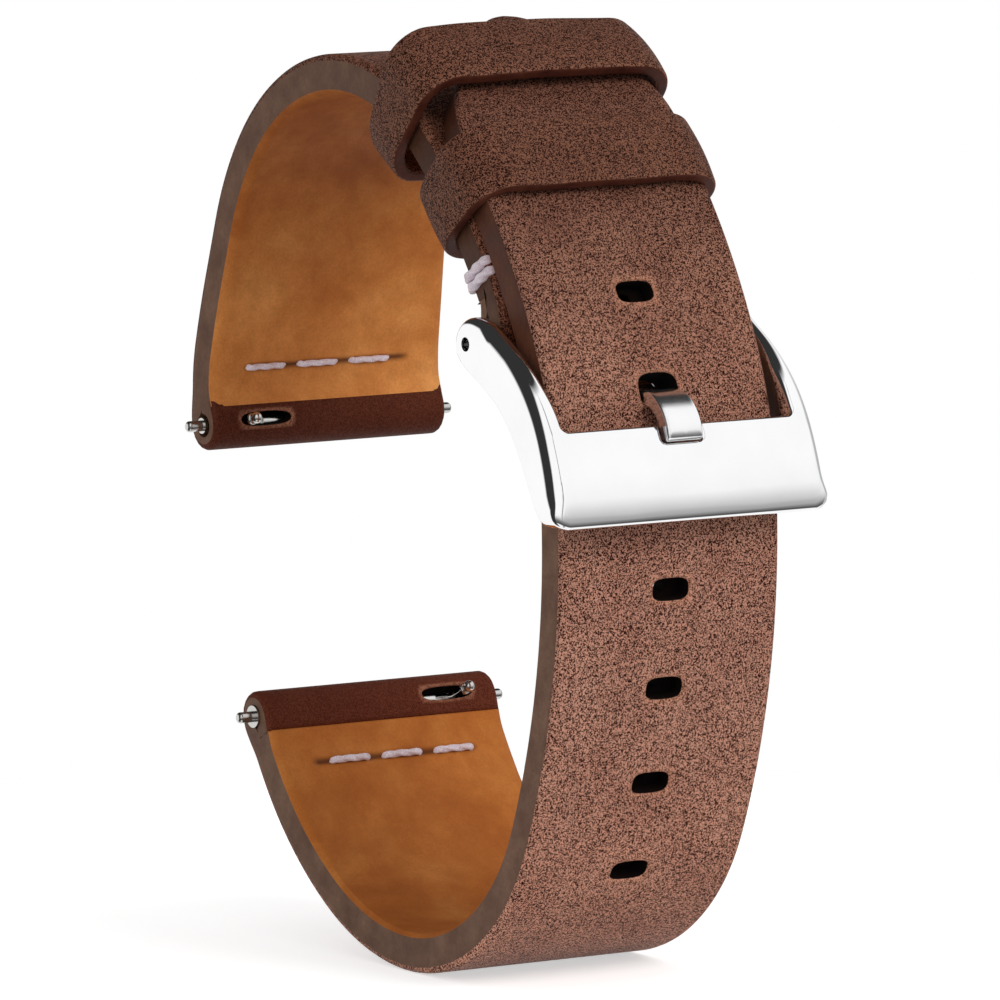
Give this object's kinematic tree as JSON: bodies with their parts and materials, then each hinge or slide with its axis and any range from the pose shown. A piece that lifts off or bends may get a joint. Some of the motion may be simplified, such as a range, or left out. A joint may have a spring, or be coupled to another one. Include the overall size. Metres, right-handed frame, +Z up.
{
  "type": "leather watch strap",
  "caption": "Leather watch strap with a pin buckle, keepers and quick-release spring bars, shown buckled into a loop.",
  "frame": {"origin": "middle of the upper spring bar's axis", "axes": "+X across the strap along the spring bars, -Y towards the buckle's side of the loop, +Z up as pictured"},
  "size_m": [0.0226, 0.0501, 0.0661],
  "materials": {
    "leather_outer": "grained matt",
    "leather_lining": "smooth satin",
    "thread": "twisted waxed thread",
    "steel": "bright turned",
    "polished_steel": "mirror polished",
    "spring_steel": "drawn wire"
  },
  "bodies": {
    "strap": {"long_strap_outer": "leather_outer", "long_strap_lining": "leather_lining", "long_strap_stitches": "thread", "short_strap_outer": "leather_outer", "short_strap_lining": "leather_lining", "short_strap_lug_stitches": "thread", "short_strap_buckle_stitches": "thread", "fixed_keeper": "leather_outer", "upper_bar_tube": "steel", "upper_bar_fixed_tip": "steel", "upper_bar_spring": "spring_steel", "lower_bar_tube": "steel", "lower_bar_fixed_tip": "steel", "lower_bar_spring": "spring_steel", "buckle_bar_tube": "steel", "buckle_bar_spring": "spring_steel"},
    "keeper": {"free_keeper": "leather_outer"},
    "frame": {"buckle_frame": "polished_steel"},
    "tongue": {"buckle_tongue": "polished_steel"},
    "upper_release": {"upper_bar_plunger": "steel", "upper_bar_lever": "steel"},
    "lower_release": {"lower_bar_plunger": "steel", "lower_bar_lever": "steel"},
    "buckle_tip_left": {"buckle_bar_plunger_left": "steel"},
    "buckle_tip_right": {"buckle_bar_plunger_right": "steel"}
  },
  "joints": [
    {"name": "free_keeper_slide", "type": "hinge", "parent": "strap", "child": "keeper", "pos_m": [0, -0.01703, 0.01062], "axis": [1, 0, 0], "range_deg": [-30, 6]},
    {"name": "buckle_frame_hinge", "type": "hinge", "parent": "strap", "child": "frame", "pos_m": [0, -0.03674, 0.0091], "axis": [1, 0, 0], "range_deg": [-3, 0]},
    {"name": "tongue_hinge", "type": "hinge", "parent": "frame", "child": "tongue", "pos_m": [0, -0.03674, 0.0091], "axis": [1, 0, 0], "range_deg": [-1.5, 0]},
    {"name": "upper_release_slide", "type": "slide", "parent": "strap", "child": "upper_release", "axis": [1, 0, 0], "range_m": [0, 0.0014], "stiffness_N_per_m": 100, "springref_m": -0.002, "deforming": ["upper_bar_spring"]},
    {"name": "lower_release_slide", "type": "slide", "parent": "strap", "child": "lower_release", "axis": [-1, 0, 0], "range_m": [0, 0.0014], "stiffness_N_per_m": 100, "springref_m": -0.002, "deforming": ["lower_bar_spring"]},
    {"name": "buckle_tip_left_slide", "type": "slide", "parent": "strap", "child": "buckle_tip_left", "axis": [1, 0, 0], "range_m": [0, 0.0012], "stiffness_N_per_m": 100, "springref_m": -0.002, "deforming": ["buckle_bar_spring"]},
    {"name": "buckle_tip_right_slide", "type": "slide", "parent": "strap", "child": "buckle_tip_right", "axis": [-1, 0, 0], "range_m": [0, 0.0012], "stiffness_N_per_m": 100, "springref_m": -0.002, "deforming": ["buckle_bar_spring"]}
  ]
}
